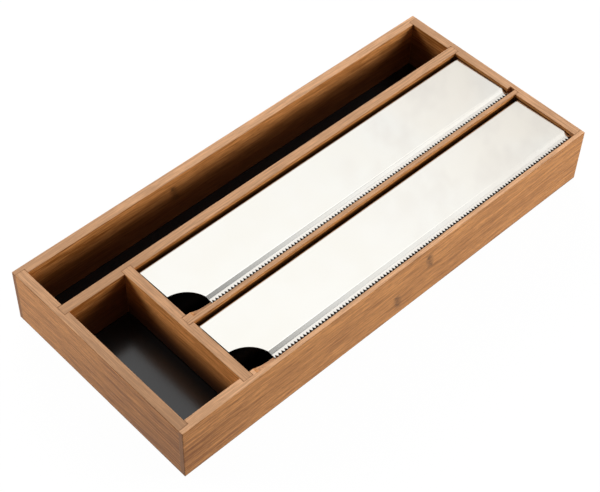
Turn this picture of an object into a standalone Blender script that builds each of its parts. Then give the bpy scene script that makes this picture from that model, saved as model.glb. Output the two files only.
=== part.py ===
"""Bamboo drawer tray with two hinged steel lids that cut cling film off the roll.

Metres, +Z up. The origin is the middle of the footprint, on the surface that the tray stands on.
+X runs along the film bays and +Y to the back.
"""
import math
from collections import namedtuple

import bmesh
import bpy
from mathutils import Matrix, Vector

MM = 0.001

# Tray
LENGTH = 400 * MM
WIDTH = 180 * MM
HEIGHT = 50 * MM
WALL = 8 * MM
DIVIDER = 8 * MM
SIDE_COMPARTMENT = 48 * MM
REAR_COMPARTMENT = 38 * MM
EDGE_EASE = 0.5 * MM

# Joinery
CORNER_LAP = 4 * MM
HOUSING_DEPTH = 4 * MM
GLUE_GAP = 0.3 * MM

# Floor
BASE_THICKNESS = 4 * MM
BASE_RAISE = 4 * MM
GROOVE_DEPTH = 4 * MM

# Sawn rebate that the film leaves through
REBATE_WIDTH = 4.4 * MM
REBATE_DEPTH = 4.7 * MM
REBATE_START = 3 * MM
SAW_RADIUS = 28 * MM

# Steel lid
SHEET = 0.8 * MM
LID_SINK = 3 * MM
LID_TILT = math.radians(1.2)
LID_LEFT_GAP = 1.8 * MM
LID_RIGHT_GAP = 1 * MM
LID_REAR_GAP = 2 * MM
PANEL_SETBACK = 4.8 * MM
STRIP_SETBACK = 1.6 * MM
STRIP_REACH = 2.5 * MM
FILM_GAP = 0.3 * MM
BEND_RADIUS = 2 * MM
TOOTH_PITCH = 2.85 * MM
TOOTH_DEPTH = 2 * MM
TOOTH_FLAT = 0.35 * MM
FINGER_RADIUS = 22.5 * MM
FINGER_OUTSET = 0.65 * MM

# Hinge
ROD_DIAMETER = 3 * MM
ROD_SEAT = 4 * MM
ROD_CHAMFER = 0.3 * MM
HINGE_CLEARANCE = 0.2 * MM
CURL_SWEEP = math.radians(285)

# Facets
EASE_SEGMENTS = 2
BEND_SEGMENTS = 4
CURL_SEGMENTS = 20
ROD_SEGMENTS = 24
FINGER_SEGMENTS = 96
SAW_SEGMENTS = 12
SMOOTH_ANGLE = math.radians(35)
OVERCUT = 2 * MM

# Places along X, Y and Z
LEFT, RIGHT = -LENGTH / 2, LENGTH / 2
FRONT, BACK = -WIDTH / 2, WIDTH / 2
INNER_LEFT, INNER_RIGHT = LEFT + WALL, RIGHT - WALL
INNER_FRONT, INNER_BACK = FRONT + WALL, BACK - WALL
CROSS_LEFT = INNER_LEFT + SIDE_COMPARTMENT
BAY_LEFT = CROSS_LEFT + DIVIDER
LONG_BACK = INNER_BACK - REAR_COMPARTMENT
LONG_FRONT = LONG_BACK - DIVIDER
BAY_WIDTH = (LONG_FRONT - INNER_FRONT - DIVIDER) / 2
MIDDLE_FRONT = INNER_FRONT + BAY_WIDTH
MIDDLE_BACK = MIDDLE_FRONT + DIVIDER
BASE_TOP = BASE_RAISE + BASE_THICKNESS
DIVIDER_BOTTOM = BASE_TOP + GLUE_GAP
REBATE_FLOOR = HEIGHT - REBATE_DEPTH
SEATED = HOUSING_DEPTH - GLUE_GAP

# Lid and hinge, measured from the hinge axis
CURL_BORE = ROD_DIAMETER / 2 + HINGE_CLEARANCE
CURL_OUTSIDE = CURL_BORE + SHEET
HINGE_HEIGHT = HEIGHT - LID_SINK - CURL_OUTSIDE
HINGE_BEHIND_BAY_FRONT = BAY_WIDTH - LID_REAR_GAP - CURL_OUTSIDE
BAY_MIDDLE = (BAY_LEFT + INNER_RIGHT) / 2
LID_MIDDLE = BAY_MIDDLE + (LID_LEFT_GAP - LID_RIGHT_GAP) / 2
LID_LENGTH = INNER_RIGHT - BAY_LEFT - LID_LEFT_GAP - LID_RIGHT_GAP

BAMBOO = dict(colour=(0.56, 0.29, 0.14), roughness=0.5, metallic=0.0)
BLACK_PANEL = dict(colour=(0.012, 0.012, 0.013), roughness=0.35, metallic=0.0)
STEEL = dict(colour=(0.76, 0.75, 0.72), roughness=0.3, metallic=1.0)

Box = namedtuple("Box", "low high")


def clear_scene():
    for old in list(bpy.data.objects):
        bpy.data.objects.remove(old, do_unlink=True)


def finish(name, colour, roughness, metallic):
    material = bpy.data.materials.new(name)
    material.use_nodes = True
    shader = material.node_tree.nodes["Principled BSDF"]
    shader.inputs["Base Color"].default_value = (*colour, 1.0)
    shader.inputs["Roughness"].default_value = roughness
    shader.inputs["Metallic"].default_value = metallic
    return material


def place(name, mesh, location):
    piece = bpy.data.objects.new(name, mesh)
    piece.location = location
    bpy.context.scene.collection.objects.link(piece)
    return piece


def mesh_from(name, form):
    bmesh.ops.recalc_face_normals(form, faces=form.faces)
    mesh = bpy.data.meshes.new(name)
    form.to_mesh(mesh)
    form.free()
    return mesh


def box(x_span, y_span, z_span):
    low, high = zip(x_span, y_span, z_span)
    return Box(Vector(low), Vector(high))


def grown(space, gap):
    margin = Vector((gap, gap, gap))
    return Box(space.low - margin, space.high + margin)


def block_form(space):
    """A block about its own middle."""
    form = bmesh.new()
    bmesh.ops.create_cube(form, size=1.0)
    bmesh.ops.scale(form, vec=space.high - space.low, verts=form.verts)
    return form


def middle(space):
    return (space.low + space.high) / 2


def edges_along(form, axis):
    return [e for e in form.edges if abs((e.verts[0].co - e.verts[1].co).normalized()[axis]) > 0.9]


def board(name, space, eased_axes):
    """A bamboo board whose edges along the given axes are eased."""
    form = block_form(space)
    eased = [edge for axis in eased_axes for edge in edges_along(form, axis)]
    bmesh.ops.bevel(form, geom=eased, offset=EDGE_EASE, segments=EASE_SEGMENTS, profile=0.5, affect='EDGES')
    piece = place(name, mesh_from(name, form), middle(space))
    piece.data.materials.append(finish(name, **BAMBOO))
    return piece


def as_cutter(tool):
    tool.hide_render = True
    tool.display_type = 'WIRE'
    return tool


def cut(piece, *tools):
    for tool in tools:
        boolean = piece.modifiers.new(tool.name, 'BOOLEAN')
        boolean.operation = 'DIFFERENCE'
        boolean.solver = 'EXACT'
        boolean.object = tool


def room_for(name, space):
    """Cutter that lets a board or panel into its neighbours, a glue line away all round."""
    wider = grown(space, GLUE_GAP)
    return as_cutter(place("room_for_" + name, mesh_from(name, block_form(wider)), middle(wider)))


def pushed_form(outline, along):
    """A closed outline pushed along a way into a solid."""
    form = bmesh.new()
    face = form.faces.new([form.verts.new(point) for point in outline])
    pushed = bmesh.ops.extrude_face_region(form, geom=[face])["geom"]
    bmesh.ops.translate(form, vec=along, verts=[v for v in pushed if isinstance(v, bmesh.types.BMVert)])
    return form


def upright_prism(name, outline, z_span):
    """A prism that stands on a plan outline."""
    foot = [(x, y, z_span[0]) for x, y in outline]
    return mesh_from(name, pushed_form(foot, Vector((0, 0, z_span[1] - z_span[0]))))


def rod_form(radius, length, chamfer=0.0):
    """A rod along X about its own middle."""
    form = bmesh.new()
    turn = Matrix.Rotation(math.pi / 2, 4, 'Y')
    bmesh.ops.create_cone(
        form, cap_ends=True, segments=ROD_SEGMENTS, radius1=radius, radius2=radius, depth=length, matrix=turn)
    if chamfer:
        rims = [e for e in form.edges if any(len(f.verts) > 4 for f in e.link_faces)]
        bmesh.ops.bevel(form, geom=rims, offset=chamfer, segments=1, affect='EDGES')
    return form


def saw_pass(name, face_y):
    """Cutter for the rebate along a board's rear top edge; the blade's round climbs out at its left end."""
    top = HEIGHT + OVERCUT
    run_out = math.sqrt(SAW_RADIUS ** 2 - (SAW_RADIUS - REBATE_DEPTH) ** 2)
    axis_x = BAY_LEFT + REBATE_START + run_out
    axis_z = REBATE_FLOOR + SAW_RADIUS
    climb = math.acos((axis_z - top) / SAW_RADIUS)
    end_x = INNER_RIGHT + HOUSING_DEPTH
    profile = [(end_x, top), (end_x, REBATE_FLOOR)]
    for step in range(SAW_SEGMENTS + 1):
        angle = climb * step / SAW_SEGMENTS
        profile.append((axis_x - SAW_RADIUS * math.sin(angle), axis_z - SAW_RADIUS * math.cos(angle)))
    side = [(x, face_y - REBATE_WIDTH, z) for x, z in profile]
    mesh = mesh_from(name, pushed_form(side, Vector((0, REBATE_WIDTH + OVERCUT, 0))))
    return as_cutter(place(name, mesh, (0, 0, 0)))


def hinge_bore(name, axis_y):
    """Cutter for the two blind holes that hold a hinge rod's ends."""
    length = INNER_RIGHT - BAY_LEFT + 2 * ROD_SEAT
    mesh = mesh_from(name, rod_form(CURL_BORE, length))
    return as_cutter(place(name, mesh, (BAY_MIDDLE, axis_y, HINGE_HEIGHT)))


def hinge_rod(name, axis_y):
    length = INNER_RIGHT - BAY_LEFT + 2 * (ROD_SEAT - GLUE_GAP)
    mesh = mesh_from(name, rod_form(ROD_DIAMETER / 2, length, ROD_CHAMFER))
    smooth(mesh)
    rod = place(name, mesh, (BAY_MIDDLE, axis_y, HINGE_HEIGHT))
    mesh.materials.append(finish(name, **STEEL))
    return rod


def smooth(mesh):
    mesh.shade_smooth()
    mesh.set_sharp_from_angle(angle=SMOOTH_ANGLE)


def bend(before, corner, after):
    """Points along the arc that a press brake leaves at a corner."""
    to_before = (before - corner).normalized()
    to_after = (after - corner).normalized()
    half = to_before.angle(to_after) / 2
    centre = corner + (to_before + to_after).normalized() * BEND_RADIUS / math.sin(half)
    start = corner + to_before * BEND_RADIUS / math.tan(half) - centre
    end = corner + to_after * BEND_RADIUS / math.tan(half) - centre
    steps = range(BEND_SEGMENTS + 1)
    return [centre + start.slerp(end, step / BEND_SEGMENTS) * BEND_RADIUS for step in steps]


def lid_path():
    """The sheet's middle line in the YZ plane, from the tooth tips to the end of the rear curl."""
    bay_front = -HINGE_BEHIND_BAY_FRONT
    strip_height = REBATE_FLOOR + FILM_GAP + SHEET / 2 - HINGE_HEIGHT
    curl = CURL_BORE + SHEET / 2
    tangent = Vector((math.sin(LID_TILT), math.cos(LID_TILT))) * curl
    tip = Vector((bay_front - STRIP_REACH, strip_height))
    low_bend = Vector((bay_front + STRIP_SETBACK, strip_height))
    panel_front = bay_front + PANEL_SETBACK
    high_bend = Vector((panel_front, tangent.y + (tangent.x - panel_front) * math.tan(LID_TILT)))
    path = [tip]
    path += bend(tip, low_bend, high_bend)
    path += bend(low_bend, high_bend, tangent)
    for step in range(CURL_SEGMENTS + 1):
        angle = math.pi / 2 - LID_TILT - CURL_SWEEP * step / CURL_SEGMENTS
        path.append(Vector((math.cos(angle), math.sin(angle))) * curl)
    return path


def sheet_outline(path, thickness):
    """Closed outline of a sheet that follows a path: out along one side, back along the other."""
    upper, lower = [], []
    for index, point in enumerate(path):
        after = path[index + 1] - point if index + 1 < len(path) else point - path[index - 1]
        before = point - path[index - 1] if index else after
        normals = [Vector((-way.y, way.x)).normalized() for way in (before, after)]
        normal = (normals[0] + normals[1]).normalized()
        offset = normal * thickness / 2 / normal.dot(normals[0])
        upper.append(point + offset)
        lower.append(point - offset)
    return upper + lower[::-1]


def tooth_comb():
    """Cutter for the saw edge: everything in front of one zigzag."""
    tip_y = -HINGE_BEHIND_BAY_FRONT - STRIP_REACH
    overshoot = TOOTH_DEPTH * TOOTH_FLAT / (TOOTH_PITCH - TOOTH_FLAT)
    count = math.ceil(LID_LENGTH / TOOTH_PITCH) + 1
    first = -count * TOOTH_PITCH / 2
    outline = [(-first, tip_y - OVERCUT), (first, tip_y - OVERCUT)]
    for tooth in range(count):
        outline.append((first + tooth * TOOTH_PITCH, tip_y - overshoot))
        outline.append((first + (tooth + 0.5) * TOOTH_PITCH, tip_y + TOOTH_DEPTH))
    outline.append((-first, tip_y - overshoot))
    strip_height = REBATE_FLOOR + FILM_GAP - HINGE_HEIGHT
    mesh = upright_prism("tooth_comb", outline, (strip_height - OVERCUT, strip_height + SHEET + OVERCUT))
    return as_cutter(place("tooth_comb", mesh, (0, 0, 0)))


def finger_cutter():
    """Cutter for the quarter-round finger hole at the lid's front left corner."""
    centre_x = BAY_LEFT - FINGER_OUTSET - LID_MIDDLE
    centre_y = -HINGE_BEHIND_BAY_FRONT - FINGER_OUTSET
    turns = [2 * math.pi * step / FINGER_SEGMENTS for step in range(FINGER_SEGMENTS)]
    outline = [(centre_x + FINGER_RADIUS * math.cos(a), centre_y + FINGER_RADIUS * math.sin(a)) for a in turns]
    mesh = upright_prism("finger_cutter", outline, (REBATE_FLOOR - HINGE_HEIGHT, HEIGHT - HINGE_HEIGHT))
    return as_cutter(place("finger_cutter", mesh, (0, 0, 0)))


def lid_mesh():
    """The bent sheet with its saw edge and finger hole, about the hinge axis."""
    end = [(-LID_LENGTH / 2, y, z) for y, z in sheet_outline(lid_path(), SHEET)]
    form = pushed_form(end, Vector((LID_LENGTH, 0, 0)))
    blank = place("lid_blank", mesh_from("lid_blank", form), (0, 0, 0))
    cut(blank, tooth_comb(), finger_cutter())
    stage = bpy.context.evaluated_depsgraph_get()
    mesh = bpy.data.meshes.new_from_object(blank.evaluated_get(stage))
    bpy.data.objects.remove(blank, do_unlink=True)
    smooth(mesh)
    return mesh


def lid(name, mesh, axis_y):
    piece = place(name, mesh.copy(), (LID_MIDDLE, axis_y, HINGE_HEIGHT))
    piece.data.materials.append(finish(name, **STEEL))
    return piece


def make_tray():
    whole = (0, HEIGHT)
    standing = (DIVIDER_BOTTOM, HEIGHT)
    side_run = (FRONT + CORNER_LAP, BACK - CORNER_LAP)
    left = box((LEFT, INNER_LEFT), side_run, whole)
    right = box((INNER_RIGHT, RIGHT), side_run, whole)
    front = box((LEFT, RIGHT), (FRONT, INNER_FRONT), whole)
    back = box((LEFT, RIGHT), (INNER_BACK, BACK), whole)
    long_run = box((INNER_LEFT - SEATED, INNER_RIGHT + SEATED), (LONG_FRONT, LONG_BACK), standing)
    cross_run = box((CROSS_LEFT, BAY_LEFT), (INNER_FRONT - SEATED, LONG_FRONT + SEATED), standing)
    middle_run = box((BAY_LEFT - SEATED, INNER_RIGHT + SEATED), (MIDDLE_FRONT, MIDDLE_BACK), standing)
    let_in = GROOVE_DEPTH - GLUE_GAP
    base_x = (INNER_LEFT - let_in, INNER_RIGHT + let_in)
    base_y = (INNER_FRONT - let_in, INNER_BACK + let_in)
    base = box(base_x, base_y, (BASE_RAISE, BASE_TOP))

    left_room = room_for("left_wall", left)
    right_room = room_for("right_wall", right)
    long_room = room_for("long_divider", long_run)
    cross_room = room_for("cross_divider", cross_run)
    middle_room = room_for("middle_divider", middle_run)
    base_groove = room_for("base_panel", base)
    front_hinge = INNER_FRONT + HINGE_BEHIND_BAY_FRONT
    rear_hinge = MIDDLE_BACK + HINGE_BEHIND_BAY_FRONT
    front_bore = hinge_bore("front_hinge_bore", front_hinge)
    rear_bore = hinge_bore("rear_hinge_bore", rear_hinge)

    cut(board("front_wall", front, (0, 1, 2)), left_room, right_room, base_groove, cross_room,
        saw_pass("front_saw_pass", INNER_FRONT))
    cut(board("back_wall", back, (0, 1, 2)), left_room, right_room, base_groove)
    cut(board("left_wall", left, (1,)), base_groove, long_room)
    cut(board("right_wall", right, (1,)), base_groove, long_room, middle_room, front_bore, rear_bore)
    cut(board("long_divider", long_run, (0,)), cross_room)
    cut(board("cross_divider", cross_run, (1,)), middle_room, front_bore, rear_bore)
    cut(board("middle_divider", middle_run, (0,)), saw_pass("middle_saw_pass", MIDDLE_BACK))
    panel = place("base_panel", mesh_from("base_panel", block_form(base)), middle(base))
    panel.data.materials.append(finish("base_panel", **BLACK_PANEL))

    sheet = lid_mesh()
    lid("front_lid", sheet, front_hinge)
    lid("rear_lid", sheet, rear_hinge)
    hinge_rod("front_hinge_rod", front_hinge)
    hinge_rod("rear_hinge_rod", rear_hinge)


clear_scene()
make_tray()
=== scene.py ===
import math
from typing import NamedTuple

import bmesh
import bpy
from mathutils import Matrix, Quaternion, Vector


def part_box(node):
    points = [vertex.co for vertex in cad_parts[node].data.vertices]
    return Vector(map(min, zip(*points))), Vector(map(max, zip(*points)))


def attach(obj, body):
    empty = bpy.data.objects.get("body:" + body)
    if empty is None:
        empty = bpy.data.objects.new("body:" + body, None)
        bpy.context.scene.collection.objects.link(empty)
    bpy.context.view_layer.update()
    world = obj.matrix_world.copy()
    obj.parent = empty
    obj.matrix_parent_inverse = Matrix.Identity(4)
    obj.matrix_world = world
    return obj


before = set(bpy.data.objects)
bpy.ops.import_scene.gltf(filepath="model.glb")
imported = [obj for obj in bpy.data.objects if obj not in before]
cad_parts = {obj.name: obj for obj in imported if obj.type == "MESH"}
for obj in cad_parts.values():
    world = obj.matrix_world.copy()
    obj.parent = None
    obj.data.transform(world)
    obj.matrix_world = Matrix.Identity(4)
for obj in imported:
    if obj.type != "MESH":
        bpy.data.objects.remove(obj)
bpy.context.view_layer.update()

MM = 0.001
X, Y, Z = range(3)
WHITE = (1, 1, 1, 1)

# A Mix node's colour sockets share their names with other sockets, so they go by number
MIX_SHARE, MIX_FIRST, MIX_SECOND, MIX_COLOUR = 0, 6, 7, 2

# The photograph's frame and the camera that was fitted to the tray's edges in it
PHOTO_WIDTH = 600
FOCAL_LENGTH_PX = 1464.0
SENSOR_WIDTH_MM = 36.0
NEAR_CLIP = 0.01
CAMERA_PLACE = Vector((-0.50959, -0.49596, 0.83209))
CAMERA_AIM = Vector((-0.03606, -0.02533, 0.048))
CAMERA_ROLL = math.radians(2.156)

# Bamboo: its strips, the glue between them, its fibres, bands and flecks, and how the grain sways
STRIP_HEIGHT = 16.6 * MM
STRIP_DROP = 0.4 * MM
GLUE_LINE = 0.25 * MM
FIBRE_LENGTH = 24 * MM
FIBRE_WIDTH = 0.9 * MM
BAND_LENGTH = 110 * MM
BAND_WIDTH = 3.6 * MM
FLECK_LENGTH = 5 * MM
FLECK_WIDTH = 0.4 * MM
GRAIN_SWAY = 1.4 * MM
SWAY_LENGTH = 160 * MM

# Bamboo: steps that give each board's strips, and each strip's bands, a draw of their own
BOARD_DRAW = 10
STRIP_DRAW = 40

# Bamboo: the values of a noise at which a mark starts to show and at which it is full
FIBRE_SHOWS = (0.38, 0.62)
SHEEN_FIBRE_SHOWS = (0.36, 0.64)
BAND_SHOWS = (0.32, 0.68)
FLECK_SHOWS = (0.56, 0.68)

# Bamboo: its colours, a painted top sheen and painted shade among them
BAMBOO_DARK = (0.25, 0.083, 0.014, 1)
BAMBOO_PALE = (0.77, 0.345, 0.112, 1)
# painted sheen on the top faces
PAINTED_TOP_SHEEN = (0.77, 0.44, 0.245)
FLECK_BROWN = (0.22, 0.08, 0.02, 1)
SCAR_BROWN = (0.11, 0.047, 0.015, 1)
# painted shadow of the cutting strips on the rebate floors
PAINTED_STRIP_SHADOW = (0.012, 0.005, 0.002, 1)
# painted shade, low inside the tray and below the lids
PAINTED_SHADE_BROWN = (0.06, 0.018, 0.0025, 1)
END_GRAIN_BROWN = (0.24, 0.10, 0.035, 1)

# Bamboo: how far a mark moves the tone, and the share of what lies under it that it covers, painted sheen
# and painted shade among them
BAND_TONE = 0.26
FIBRE_TONE = 0.62
STRIP_TONE = 0.16
TONE_SHADE_DRIFT = 0.3
TOP_SHEEN_DRIFT = 0.6
TOP_SHEEN_TONES = (0.78, 1.19)
TOP_SHEEN_COVER = 0.88
FLECK_COVER = 0.5
FLECK_WORN_OFF = 0.3
GLUE_COVER = 0.3
END_GRAIN_COVER = 0.75
LID_SHADE_COVER = 0.95
REBATE_PALING = 0.75
CONTACT_SHADOW_COVER = 0.75

# Bamboo: soft bounds of the places where shade is painted, in the tray, its bays, its rebates and along its
# foot
INNER_ENDS = (195 * MM, 197 * MM)
INNER_SIDES = (85 * MM, 87 * MM)
BAYS_LEFT = (-141 * MM, -139 * MM)
BAYS_BACK = (39 * MM, 41 * MM)
LID_SHADE_TOP = (46.9 * MM, 47.7 * MM)
REBATE_START = (-125 * MM, -70 * MM)
REBATE_END = (120 * MM, 192 * MM)
REBATE_BOTTOM = (30 * MM, 40 * MM)
REBATE_TOP = (45.4 * MM, 46.6 * MM)
CONTACT_SHADOW_HEIGHTS = (0.5 * MM, 1.5 * MM)

# Bamboo: how squarely a face looks up or along the grain where it counts as a top edge or an end
LOOKS_UP = (0.8, 0.95)
LOOKS_ALONG = (0.7, 0.95)

# Bamboo: its gloss and relief
BAMBOO_ROUGHNESS = 0.42
FIBRE_ROUGHNESS = 0.16
SAWN_ROUGHNESS = 0.35
BAMBOO_SPECULAR = 0.22
FIBRE_RELIEF = 0.6
FLECK_RELIEF = 0.4
GLUE_RELIEF = 0.5
GRAIN_BUMP = 0.15
GRAIN_DEPTH = 0.12 * MM

# Bamboo: the scar that a joint of the culm leaves, a smudged line broken into dashes
SCAR_CORE = 0.3 * MM
SCAR_WIDTH = 5 * MM
SCAR_LEAN = -0.22
SCAR_FADE = 2 * MM
SCAR_COVER = 0.9
SMUDGE_REACH = 6 * MM
SMUDGE_LENGTH = 3 * MM
SMUDGE_WIDTH = 1.8 * MM
DASH_LENGTH = 3.5 * MM
DASH_WIDTH = 0.8 * MM
DASH_DRAW = 5.0
DASH_SHOWS = (0.42, 0.6)
BETWEEN_DASHES = 0.35

# Steel: its rolled clouds and grain, and its gloss and relief
SHEET_CLOUD = 45 * MM
SHEET_GRAIN_LENGTH = 60 * MM
SHEET_GRAIN_WIDTH = 0.6 * MM
CLOUD_SHOWS = (0.3, 0.7)
STEEL_DULL = (0.78, 0.765, 0.715, 1)
STEEL_BRIGHT = (0.80, 0.79, 0.75, 1)
LID_ROUGHNESS = 0.12
ROD_ROUGHNESS = 0.16
CLOUD_ROUGHNESS = 0.10
SHEET_GRAIN_ROUGHNESS = 0.04
CLOUD_RELIEF = 0.8
SHEET_GRAIN_RELIEF = 0.2
SHEET_BUMP = 0.015
SHEET_DEPTH = 0.2 * MM

# Lids: a painted warm reflection, and soft smudges with painted shade, both growing towards the right end
PAINTED_WARM_REFLECTION = (0.80, 0.755, 0.68, 1)
STEEL_SMEAR_AND_SHADE = (0.71, 0.675, 0.625, 1)
HAZE_LENGTH = 70 * MM
HAZE_SHOWS = (0.40, 0.62)
HAZE_GROWS = (40 * MM, 190 * MM)
HAZE_COVER = 0.8
SMEAR_LENGTH = 55 * MM
SMEAR_WIDTH = 30 * MM
SMEAR_SHOWS = (0.38, 0.72)
SMEAR_GROWS = (-40 * MM, 140 * MM)
SMEAR_COVER = 0.55

# Lids: the cutting strip before the fold, and its teeth, with painted shade on the strip, in the crease and
# in the notches
FOLDS = {"front": -80.4 * MM, "rear": -17.4 * MM}
STRIP_BLEND = 0.5 * MM
STRIP_SHADE_COVER = 0.7
# painted shade in the crease along the fold, deeper at the finger-hole end
PAINTED_CREASE_SHADE = (0.30, 0.29, 0.27, 1)
CREASE_SHADE_SPAN = (0.1 * MM, 0.8 * MM)
CREASE_SHADE_COVER = 0.14
FINGER_END = (-125 * MM, -40 * MM)
FINGER_END_COVER = 0.4
# painted shade in the notches, on the teeth's cut edges and rims
PAINTED_NOTCH_SHADE = (0.015, 0.013, 0.012, 1)
CUT_EDGE_LOOKS_UP = (0.3, 0.6)
CUT_EDGE_FROM_FOLD = 2 * MM
CUT_EDGE_BLEND = 1 * MM
LID_MIDDLE = 28.4 * MM
TOOTH_PITCH = 2.85 * MM
TOOTH_LENGTH = 2.28 * MM
TIPS_BEFORE_FOLD = 4.38 * MM
NOTCH_SHADE_RIM = 0.42
NOTCH_SHADE_COVER = 0.9

# Black floor panel
PANEL_BLACK = (0.003, 0.003, 0.0033, 1)
PANEL_GREY = (0.007, 0.007, 0.0074, 1)
PANEL_PEBBLE = 0.6 * MM
PANEL_PATCH = 35 * MM
PANEL_ROUGHNESS = 0.17
PATCH_ROUGHNESS = 0.05
PANEL_SPECULAR = 0.68
PEBBLE_BUMP = 0.03
PEBBLE_DEPTH = 0.05 * MM

# Glue in the joints: the board that takes another and the board that is let in, and how the strips lie
LET_IN = (
    ("front_wall", "left_wall"), ("front_wall", "right_wall"), ("back_wall", "left_wall"),
    ("back_wall", "right_wall"), ("left_wall", "long_divider"), ("right_wall", "long_divider"),
    ("front_wall", "cross_divider"), ("long_divider", "cross_divider"), ("cross_divider", "middle_divider"),
    ("right_wall", "middle_divider"),
)
GLUE_GAP = 0.3 * MM
GLUE_SINK = 0.12 * MM
GLUE_SLACK = 0.02 * MM
GLUE_BOTTOM = 8.4 * MM
GLUE_DARK = (0.24, 0.105, 0.035, 1)
GLUE_PALE = (0.40, 0.19, 0.075, 1)
DUST_WIDTH = 1.5 * MM
DUST_LENGTH = 6 * MM
DUST_SHOWS = (0.3, 0.7)
GLUE_ROUGHNESS = 0.45
DUST_ROUGHNESS = 0.2

# Table
TABLE_SIZE = 12.0
TABLE_DROP = 0.5 * MM
TABLE_GREY = (0.2, 0.2, 0.2, 1)
TABLE_GLOW = 1.15
TABLE_GLOW_SHARE = 0.85

# Studio room: its own level, the light along its skirting, and the walls that steel mirrors
ROOM_LIGHT = 0.05
SKIRTING_LIGHT = 0.25
SKIRTING_HEIGHT = (0.02, 0.16)
PALE_WALLS = 0.72


class Panel(NamedTuple):
    """A soft patch of the studio's sky: where it lies, the angles at which it fades, and its strength."""
    middle: Vector
    inner_angle: float
    outer_angle: float
    strength: float


# The panels that light the tray, and a dark flag that steel mirrors between them
PANELS = (
    Panel(Vector((0.33, 0.43, 0.84)), 13, 30.5, 1.26),
    Panel(Vector((0.52, 0.0, 0.854)), 9, 20, 0.8),
    Panel(Vector((0.58, -0.37, 0.725)), 10.5, 12, 1.16),
)
FLAG = Panel(Vector((0.26, -0.38, 0.89)), 9, 15, 0.95)


class Softbox(NamedTuple):
    """A lamp on a stand: where it stands in metres, its width and height, and its power in watts."""
    place: Vector
    width: float
    height: float
    power: float


LAMP_AIM = Vector((0, 0, 0.04))
SOFTBOXES = {
    "front_right_softbox": Softbox(Vector((1.8, -1.8, 0.72)), 1.6, 1.0, 65),
    "left_softbox": Softbox(Vector((-0.72, 0.58, 0.34)), 0.4, 0.3, 5.6),
    "back_softbox": Softbox(Vector((0.62, 0.95, 0.65)), 0.8, 0.5, 11.4),
}


class Scar(NamedTuple):
    """Where a joint of the culm crosses a board's grain, and the heights between which it shows."""
    place: float
    low: float
    high: float


class Board(NamedTuple):
    """How a board was cut and oiled, and the shade painted on it.

    The stretch says which part of the bamboo it came from. Its colour drifts along the grain, from dark at
    the first place to pale at the second, partly as the wood's tone and partly as painted shade. Inside
    the tray, painted shade darkens it the lower it lies: painted_shade_share is the share at the bottom,
    and painted_shade_heights are where that starts to fade and where it ends. top_sheen_tone scales the
    sheen painted on its top faces.
    """
    grain_axis: int
    stretch: float
    paleness: float
    top_sheen_tone: float
    tone_shade_drift: tuple = ()
    scars: tuple = ()
    painted_shade_share: float = 0.72
    painted_shade_heights: tuple = (28 * MM, 50 * MM)


BOARDS = {
    "front_wall": Board(
        X, stretch=0.0, paleness=0.10, top_sheen_tone=1.0, tone_shade_drift=(-225 * MM, -100 * MM),
        scars=(Scar(30.3 * MM, 28 * MM, 43 * MM), Scar(-0.8 * MM, 9 * MM, 22.5 * MM))),
    "back_wall": Board(
        X, stretch=1.7, paleness=0.0, top_sheen_tone=0.82, tone_shade_drift=(-170 * MM, -40 * MM),
        scars=(Scar(-61 * MM, 26 * MM, 42 * MM),)),
    "long_divider": Board(
        X, stretch=3.1, paleness=0.0, top_sheen_tone=0.75, tone_shade_drift=(-160 * MM, -60 * MM),
        painted_shade_share=0.85, painted_shade_heights=(30 * MM, 52 * MM)),
    "middle_divider": Board(X, stretch=4.6, paleness=0.0, top_sheen_tone=0.76),
    "left_wall": Board(Y, stretch=5.6, paleness=0.0, top_sheen_tone=0.68, tone_shade_drift=(-85 * MM, 75 * MM)),
    "right_wall": Board(
        Y, stretch=7.9, paleness=-0.08, top_sheen_tone=0.84, tone_shade_drift=(100 * MM, -60 * MM),
        scars=(Scar(12 * MM, 10 * MM, 24 * MM),)),
    "cross_divider": Board(
        Y, stretch=9.4, paleness=0.14, top_sheen_tone=0.71, painted_shade_share=0.97, painted_shade_heights=(12 * MM, 44 * MM)),
}


class Wire:
    """A socket of a finish. Sums with numbers and other wires add Math nodes."""

    def __init__(self, finish, socket):
        self.finish = finish
        self.socket = socket

    def math(self, operation, *values):
        return self.finish.node("Math", {"operation": operation}, dict(enumerate(values)))

    def __add__(self, other):
        return self.math('ADD', self, other)

    def __radd__(self, other):
        return self.math('ADD', other, self)

    def __sub__(self, other):
        return self.math('SUBTRACT', self, other)

    def __rsub__(self, other):
        return self.math('SUBTRACT', other, self)

    def __mul__(self, other):
        return self.math('MULTIPLY', self, other)

    def __rmul__(self, other):
        return self.math('MULTIPLY', other, self)

    def __truediv__(self, other):
        return self.math('DIVIDE', self, other)

    def __abs__(self):
        return self.math('ABSOLUTE', self)

    def floor(self):
        return self.math('FLOOR', self)

    def fraction(self):
        return self.math('FRACT', self)

    def or_else(self, other):
        """The larger of the two."""
        return self.math('MAXIMUM', self, other)

    def ease(self, start, end):
        """0 at start, 1 at end, with a soft run between them."""
        settings = {"interpolation_type": 'SMOOTHSTEP', "clamp": True}
        return self.finish.node("MapRange", settings, {0: self, 1: start, 2: end})


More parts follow.
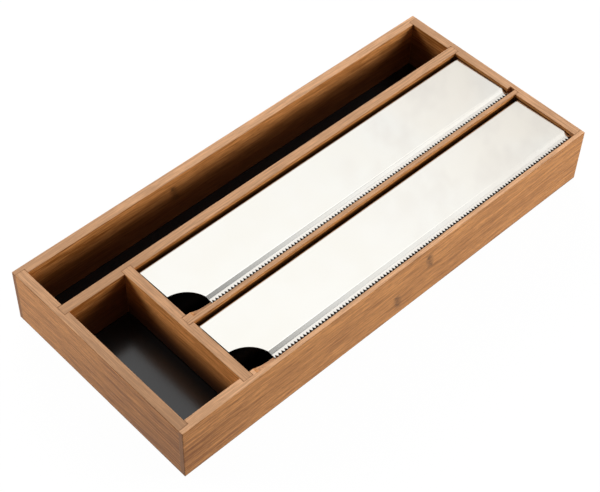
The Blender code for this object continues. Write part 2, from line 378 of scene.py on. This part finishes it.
class Finish:
    """A node tree that a surface's finish is written in."""

    def __init__(self, tree):
        self.tree = tree
        self.tree.nodes.clear()

    def node(self, kind, settings=None, sockets=None, output=0):
        made = self.tree.nodes.new("ShaderNode" + kind)
        for name, value in (settings or {}).items():
            setattr(made, name, value)
        for name, value in (sockets or {}).items():
            if isinstance(value, Wire):
                self.tree.links.new(value.socket, made.inputs[name])
            else:
                made.inputs[name].default_value = value
        return Wire(self, made.outputs[output]) if made.outputs else None

    def point(self):
        """Where a point of the piece lies, as three wires in metres."""
        place = self.node("TexCoord", output="Object")
        return [self.node("SeparateXYZ", sockets={0: place}, output=axis) for axis in (X, Y, Z)]

    def facing(self, axis):
        """How squarely the surface looks along an axis of the piece, either way."""
        normal = self.node("TexCoord", output="Normal")
        return abs(self.node("SeparateXYZ", sockets={0: normal}, output=axis))

    def noise(self, x, y, z, detail=2.0, rough=0.5):
        spot = self.node("CombineXYZ", sockets={0: x, 1: y, 2: z})
        sockets = {"Vector": spot, "Scale": 1.0, "Detail": detail, "Roughness": rough}
        return self.node("TexNoise", {"noise_dimensions": '3D'}, sockets)

    def chance(self, number):
        """A draw from 0 to 1 that is the same whenever the number is."""
        return self.node("TexWhiteNoise", {"noise_dimensions": '1D'}, {"W": number})

    def mix(self, share, first, second):
        sockets = {MIX_SHARE: share, MIX_FIRST: first, MIX_SECOND: second}
        return self.node("Mix", {"data_type": 'RGBA'}, sockets, output=MIX_COLOUR)

    def bump(self, height, strength, distance):
        return self.node("Bump", sockets={"Height": height, "Strength": strength, "Distance": distance})

    def toward(self, way, panel):
        """1 in the middle of a panel of the sky, 0 outside it."""
        sockets = {0: way, 1: panel.middle.normalized()}
        near = self.node("VectorMath", {"operation": 'DOT_PRODUCT'}, sockets, output="Value")
        outer, inner = math.radians(panel.outer_angle), math.radians(panel.inner_angle)
        return near.ease(math.cos(outer), math.cos(inner))

    def camera_ray(self):
        return self.node("LightPath", output="Is Camera Ray")

    def mirror_ray(self):
        """1 for a ray that a shiny or a clear surface sends on."""
        glossy = self.node("LightPath", output="Is Glossy Ray")
        return glossy.or_else(self.node("LightPath", output="Is Transmission Ray"))

    def shader(self, **sockets):
        named = {}
        for name, value in sockets.items():
            named[name.replace("_", " ").title().replace("Ior", "IOR")] = value
        return self.node("BsdfPrincipled", sockets=named)

    def surface(self, shader):
        self.node("OutputMaterial", sockets={"Surface": shader})


class Grain(NamedTuple):
    """What shows in a board: its strips' tones and glue lines, and the noises of its finer marks."""
    tone: Wire
    glue: Wire
    fibre: Wire
    band: Wire
    speck: Wire


def new_finish(name):
    material = bpy.data.materials.new(name)
    material.use_nodes = True
    return material, Finish(material.node_tree)


def toned(colour, level):
    return (*(level * part for part in colour), 1)


def bamboo_grain(finish, board, along, across, z):
    """Strips pressed together, with long fibres that sway a little."""
    run = along + board.stretch
    strips = (z + STRIP_DROP) / STRIP_HEIGHT
    tone = finish.chance(strips.floor() + board.stretch * BOARD_DRAW)
    glue = abs(strips.fraction() - 0.5).ease(0.5 - GLUE_LINE / STRIP_HEIGHT, 0.5)

    bow = finish.noise(run / SWAY_LENGTH, across / SWAY_LENGTH, z / SWAY_LENGTH, detail=0.0)
    sway = (bow - 0.5) * GRAIN_SWAY
    side, rise = across + sway, z + sway
    fibre = finish.noise(run / FIBRE_LENGTH, side / FIBRE_WIDTH, rise / FIBRE_WIDTH, detail=5.0, rough=0.65)
    band = finish.noise(run / BAND_LENGTH + tone * STRIP_DRAW, side / BAND_WIDTH, rise / BAND_WIDTH)
    speck = finish.noise(run / FLECK_LENGTH, side / FLECK_WIDTH, rise / FLECK_WIDTH, detail=1.0)
    return Grain(tone, glue, fibre, band, speck)


def oiled_colour(finish, board, grain, along, top):
    """Pale and dark fibres on a board's faces, a painted sheen on its top faces, and flecks over both."""
    paleness = (board.paleness + BAND_TONE * grain.band.ease(*BAND_SHOWS)
                + FIBRE_TONE * grain.fibre.ease(*FIBRE_SHOWS) + STRIP_TONE * grain.tone)
    sheen_fibres = grain.fibre.ease(*SHEEN_FIBRE_SHOWS)
    # one end of a board darker, partly its tone and partly painted shade
    if board.tone_shade_drift:
        dark_end = 1 - along.ease(*board.tone_shade_drift)
        paleness = paleness - TONE_SHADE_DRIFT * dark_end
        sheen_fibres = sheen_fibres - TOP_SHEEN_DRIFT * dark_end
    colour = finish.mix(paleness, BAMBOO_DARK, BAMBOO_PALE)
    # a painted sheen on the top faces, paler where fibres show and weaker towards a board's dark end
    dull_sheen, pale_sheen = (toned(PAINTED_TOP_SHEEN, tone * board.top_sheen_tone) for tone in TOP_SHEEN_TONES)
    colour = finish.mix(top * TOP_SHEEN_COVER, colour, finish.mix(sheen_fibres, dull_sheen, pale_sheen))
    flecks = grain.speck.ease(*FLECK_SHOWS) * (FLECK_COVER - FLECK_WORN_OFF * top)
    return finish.mix(flecks + grain.glue * GLUE_COVER, colour, FLECK_BROWN)


def scar_marks(finish, scar, along, z):
    """Smudged dashes about a leaning line."""
    away = along - scar.place
    lean = (z - (scar.low + scar.high) / 2) * SCAR_LEAN
    smudge = finish.noise(away / SMUDGE_LENGTH, 0.0, z / SMUDGE_WIDTH)
    dash = finish.noise(away / DASH_LENGTH, DASH_DRAW, z / DASH_WIDTH, detail=1.0)
    line = 1 - abs(away - lean + (smudge - 0.5) * SMUDGE_REACH).ease(SCAR_CORE, SCAR_WIDTH)
    from_low = z.ease(scar.low - SCAR_FADE, scar.low + SCAR_FADE)
    to_high = 1 - z.ease(scar.high - SCAR_FADE, scar.high + SCAR_FADE)
    dashes = BETWEEN_DASHES + (1 - BETWEEN_DASHES) * dash.ease(*DASH_SHOWS)
    return line * from_low * to_high * dashes * SCAR_COVER


def painted_inner_shade(board, x, y, z, top):
    """Painted shade, low down inside the tray and on the bays' faces below the lids."""
    inside = (1 - abs(x).ease(*INNER_ENDS)) * (1 - abs(y).ease(*INNER_SIDES))
    in_bays = x.ease(*BAYS_LEFT) * (1 - y.ease(*BAYS_BACK))
    low_shade = board.painted_shade_share * (1 - z.ease(*board.painted_shade_heights))
    lid_shade = LID_SHADE_COVER * in_bays * (1 - z.ease(*LID_SHADE_TOP))
    return inside * low_shade.or_else(lid_shade * (1 - top))


def painted_rebate_shadow(x, z, top):
    """Painted shadow of the cutting strips on the rebates' floor below them, lighter towards the right end.
    """
    under_strip = x.ease(*REBATE_START) * (1 - REBATE_PALING * x.ease(*REBATE_END))
    return top * z.ease(*REBATE_BOTTOM) * (1 - z.ease(*REBATE_TOP)) * under_strip


def bamboo(name, board):
    """Oiled bamboo with its grain, its scars and its end grain, a painted sheen on its top faces, and
    painted shade inside the tray, under the cutting strips and along the foot.
    """
    material, finish = new_finish(name)
    x, y, z = finish.point()
    along, across = (x, y) if board.grain_axis == X else (y, x)
    top = finish.facing(Z).ease(*LOOKS_UP)
    grain = bamboo_grain(finish, board, along, across, z)

    colour = oiled_colour(finish, board, grain, along, top)
    for scar in board.scars:
        colour = finish.mix(scar_marks(finish, scar, along, z), colour, SCAR_BROWN)
    end_grain = finish.facing(board.grain_axis).ease(*LOOKS_ALONG)
    colour = finish.mix(end_grain * END_GRAIN_COVER, colour, END_GRAIN_BROWN)
    # painted shade low inside the tray and on the bays' faces below the lids
    colour = finish.mix(painted_inner_shade(board, x, y, z, top), colour, PAINTED_SHADE_BROWN)
    # painted shadow of the cutting strips on the rebate floors, lighter towards the right end
    rebate_shadow = painted_rebate_shadow(x, z, top)
    colour = finish.mix(rebate_shadow, colour, PAINTED_STRIP_SHADOW)
    # painted contact shadow along the bottom edges, in the flecks' brown
    contact_shadow = 1 - z.ease(*CONTACT_SHADOW_HEIGHTS)
    colour = finish.mix(contact_shadow * CONTACT_SHADOW_COVER, colour, FLECK_BROWN)

    roughness = BAMBOO_ROUGHNESS + FIBRE_ROUGHNESS * grain.fibre + SAWN_ROUGHNESS * rebate_shadow
    height = grain.fibre * FIBRE_RELIEF + grain.speck * FLECK_RELIEF - grain.glue * GLUE_RELIEF
    relief = finish.bump(height, GRAIN_BUMP, GRAIN_DEPTH)
    finish.surface(finish.shader(
        base_color=colour, roughness=roughness, normal=relief, specular_ior_level=BAMBOO_SPECULAR))
    return material


def right_end_reflection(finish, colour, x, y, z):
    """A painted warm reflection on a lid, and soft smudges that darken it with painted shade towards the
    right end.
    """
    haze = finish.noise(x / HAZE_LENGTH, y / HAZE_LENGTH, z / HAZE_LENGTH, detail=1.0)
    # painted warm reflection, growing towards the right end
    warm_reflection = haze.ease(*HAZE_SHOWS) * x.ease(*HAZE_GROWS)
    colour = finish.mix(warm_reflection * HAZE_COVER, colour, PAINTED_WARM_REFLECTION)
    smear = finish.noise((x + y) / SMEAR_LENGTH, (x - y) / SMEAR_WIDTH, z / SMEAR_WIDTH, detail=3.0)
    # smudges, with painted shade that grows towards the right end
    smudges_and_shade = smear.ease(*SMEAR_SHOWS) * x.ease(*SMEAR_GROWS)
    return finish.mix(smudges_and_shade * SMEAR_COVER, colour, STEEL_SMEAR_AND_SHADE)


def cutting_strip(finish, colour, x, y, fold):
    """A lid's strip before the fold darkened with painted shade, painted shade in the crease along the fold,
    and painted shade on the teeth's cut edges and rims.
    """
    # painted shade that darkens the strip before the fold
    strip_shade = 1 - y.ease(fold - STRIP_BLEND, fold)
    colour = finish.mix(strip_shade * STRIP_SHADE_COVER, colour, STEEL_SMEAR_AND_SHADE)
    # painted shade in the crease along the fold, deeper at the finger-hole end
    crease_shade = 1 - abs(y - fold).ease(*CREASE_SHADE_SPAN)
    finger_end = 1 - x.ease(*FINGER_END)
    colour = finish.mix(crease_shade * (CREASE_SHADE_COVER + FINGER_END_COVER * finger_end), colour, PAINTED_CREASE_SHADE)

    # painted shade on the teeth's upright cut edges and on rims about the notches
    upright = 1 - finish.facing(Z).ease(*CUT_EDGE_LOOKS_UP)
    at_teeth = 1 - y.ease(fold - CUT_EDGE_FROM_FOLD, fold - CUT_EDGE_FROM_FOLD + CUT_EDGE_BLEND)
    colour = finish.mix(upright * at_teeth, colour, PAINTED_NOTCH_SHADE)
    from_notch = 2 * abs(((x - LID_MIDDLE) / TOOTH_PITCH).fraction() - 0.5)
    behind_tips = (y - (fold - TIPS_BEFORE_FOLD)) / TOOTH_LENGTH
    notch_rim_shade = 1 - (from_notch + behind_tips - 1).ease(NOTCH_SHADE_RIM / 2, NOTCH_SHADE_RIM)
    return finish.mix(notch_rim_shade * NOTCH_SHADE_COVER, colour, PAINTED_NOTCH_SHADE)


def satin_steel(name, base_roughness, fold=None):
    """Rolled stainless steel: a faint cloudy sheen, a fine grain and, where it has a fold, a lid's marks and
    its painted shade and reflection.
    """
    material, finish = new_finish(name)
    x, y, z = finish.point()
    cloud = finish.noise(x / SHEET_CLOUD, y / SHEET_CLOUD, z / SHEET_CLOUD, detail=3.0, rough=0.55)
    grain = finish.noise(x / SHEET_GRAIN_LENGTH, y / SHEET_GRAIN_WIDTH, z / SHEET_GRAIN_WIDTH)
    colour = finish.mix(cloud.ease(*CLOUD_SHOWS), STEEL_DULL, STEEL_BRIGHT)
    if fold is not None:
        colour = right_end_reflection(finish, colour, x, y, z)
        colour = cutting_strip(finish, colour, x, y, fold)
    roughness = base_roughness + CLOUD_ROUGHNESS * cloud + SHEET_GRAIN_ROUGHNESS * grain
    relief = finish.bump(cloud * CLOUD_RELIEF + grain * SHEET_GRAIN_RELIEF, SHEET_BUMP, SHEET_DEPTH)
    finish.surface(finish.shader(base_color=colour, roughness=roughness, normal=relief, metallic=1.0))
    return material


def satin_black(name):
    """Black laminate with a fine pebble that blurs what it mirrors."""
    material, finish = new_finish(name)
    x, y, z = finish.point()
    pebble = finish.noise(x / PANEL_PEBBLE, y / PANEL_PEBBLE, z / PANEL_PEBBLE)
    patch = finish.noise(x / PANEL_PATCH, y / PANEL_PATCH, z / PANEL_PATCH)
    colour = finish.mix(patch, PANEL_BLACK, PANEL_GREY)
    roughness = PANEL_ROUGHNESS + PATCH_ROUGHNESS * patch
    relief = finish.bump(pebble, PEBBLE_BUMP, PEBBLE_DEPTH)
    finish.surface(finish.shader(
        base_color=colour, roughness=roughness, normal=relief, specular_ior_level=PANEL_SPECULAR))
    return material


def dried_glue(name):
    """Glue with bamboo dust in it, squeezed flush and wiped."""
    material, finish = new_finish(name)
    x, y, z = finish.point()
    dust = finish.noise(x / DUST_WIDTH, y / DUST_WIDTH, z / DUST_LENGTH)
    colour = finish.mix(dust.ease(*DUST_SHOWS), GLUE_DARK, GLUE_PALE)
    finish.surface(finish.shader(base_color=colour, roughness=GLUE_ROUGHNESS + DUST_ROUGHNESS * dust))
    return material


def dress(node, material):
    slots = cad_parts[node].data.materials
    slots.clear()
    slots.append(material)


def dress_tray():
    for node, board in BOARDS.items():
        dress(node, bamboo(node + "_bamboo", board))
    dress("base_panel", satin_black("floor_laminate"))
    for side, fold in FOLDS.items():
        dress(side + "_lid", satin_steel(side + "_lid_sheet", LID_ROUGHNESS, fold))
        dress(side + "_hinge_rod", satin_steel(side + "_rod_steel", ROD_ROUGHNESS))


def glue_strip(form, low, high):
    """A closed strip of glue, a hair slimmer than the gap that it lies in."""
    slack = Vector((GLUE_SLACK, GLUE_SLACK, 0))
    low, high = low + slack, high - slack
    corners = bmesh.ops.create_cube(form, size=1.0)["verts"]
    bmesh.ops.scale(form, vec=high - low, verts=corners)
    bmesh.ops.translate(form, vec=(low + high) / 2, verts=corners)


def fill_joint(form, host, guest):
    """Strips of glue round a board where it is let into its neighbour."""
    host_low, host_high = (Vector(corner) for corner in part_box(host))
    low, high = (Vector(corner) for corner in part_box(guest))
    pocket_low = Vector([max(h, g - GLUE_GAP) for h, g in zip(host_low, low)])
    pocket_high = Vector([min(h, g + GLUE_GAP) for h, g in zip(host_high, high)])
    top = min(host_high.z, high.z) - GLUE_SINK
    for axis, bottom in ((X, max(low.z, GLUE_BOTTOM)), (Y, low.z + GLUE_SINK)):
        for has_gap, start, end in (
                (pocket_low[axis] < low[axis], pocket_low[axis], low[axis]),
                (pocket_high[axis] > high[axis], high[axis], pocket_high[axis])):
            if not has_gap:
                continue
            strip_low, strip_high = pocket_low.copy(), pocket_high.copy()
            if axis == Y:
                strip_low.x, strip_high.x = max(low.x, pocket_low.x), min(high.x, pocket_high.x)
            strip_low[axis], strip_high[axis] = start, end
            strip_low.z, strip_high.z = bottom, top
            glue_strip(form, strip_low, strip_high)


def glue_joints():
    form = bmesh.new()
    for host, guest in LET_IN:
        fill_joint(form, host, guest)
    mesh = bpy.data.meshes.new("joint_glue")
    form.to_mesh(mesh)
    form.free()
    mesh.materials.append(dried_glue("dried_glue"))
    glue = bpy.data.objects.new("joint_glue", mesh)
    bpy.context.scene.collection.objects.link(glue)
    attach(glue, "tray")


def studio_floor():
    """A pale table that reads white in the picture and still takes the tray's shadow."""
    bpy.ops.mesh.primitive_plane_add(size=TABLE_SIZE, location=(0, 0, -TABLE_DROP))
    floor = bpy.context.object
    floor.name = "studio_floor"
    material, finish = new_finish("pale_table")
    table = finish.node("BsdfDiffuse", sockets={"Color": TABLE_GREY})
    glow = finish.node("Emission", sockets={"Color": WHITE, "Strength": TABLE_GLOW})
    seen = finish.camera_ray().or_else(finish.mirror_ray())
    finish.surface(finish.node("MixShader", sockets={0: seen * TABLE_GLOW_SHARE, 1: table, 2: glow}))
    floor.data.materials.append(material)


def studio_world():
    """A dim room whose soft panels light the tray. Steel mirrors pale walls, and the camera sees white."""
    world = bpy.data.worlds.new("studio")
    bpy.context.scene.world = world
    world.use_nodes = True
    finish = Finish(world.node_tree)
    way = finish.node("TexCoord", output="Generated")
    height = finish.node("SeparateXYZ", sockets={0: way}, output=Z)
    panels = 0.0
    for panel in PANELS:
        panels = panel.strength * finish.toward(way, panel) + panels
    lit = ROOM_LIGHT + SKIRTING_LIGHT * (1 - height.ease(*SKIRTING_HEIGHT)) + panels
    mirrored = panels.or_else(PALE_WALLS * (1 - FLAG.strength * finish.toward(way, FLAG)))
    mirror_ray, camera_ray = finish.mirror_ray(), finish.camera_ray()
    light = lit * (1 - mirror_ray) + mirrored * mirror_ray
    light = light * (1 - camera_ray) + camera_ray
    glow = finish.node("Background", sockets={"Color": WHITE, "Strength": light})
    finish.node("OutputWorld", sockets={"Surface": glow})


def studio_lamps():
    """Softboxes that light the tray and are not mirrored in it."""
    for name, softbox in SOFTBOXES.items():
        lamp = bpy.data.lights.new(name, 'AREA')
        lamp.shape = 'RECTANGLE'
        lamp.size = softbox.width
        lamp.size_y = softbox.height
        lamp.energy = softbox.power
        stand = bpy.data.objects.new(name, lamp)
        stand.visible_glossy = False
        stand.location = softbox.place
        stand.rotation_euler = (LAMP_AIM - softbox.place).to_track_quat('-Z', 'Y').to_euler()
        bpy.context.scene.collection.objects.link(stand)


def photo_camera():
    lens = bpy.data.cameras.new("photo_camera")
    lens.sensor_fit = 'HORIZONTAL'
    lens.sensor_width = SENSOR_WIDTH_MM
    lens.lens = FOCAL_LENGTH_PX * SENSOR_WIDTH_MM / PHOTO_WIDTH
    lens.clip_start = NEAR_CLIP
    stand = bpy.data.objects.new("photo_camera", lens)
    stand.location = CAMERA_PLACE
    level = (CAMERA_AIM - CAMERA_PLACE).to_track_quat('-Z', 'Y')
    stand.rotation_mode = 'QUATERNION'
    stand.rotation_quaternion = level @ Quaternion((0, 0, 1), CAMERA_ROLL)
    bpy.context.scene.collection.objects.link(stand)
    bpy.context.scene.camera = stand


dress_tray()
glue_joints()
studio_floor()
studio_world()
studio_lamps()
photo_camera()
bpy.context.scene.view_settings.view_transform = 'Standard'
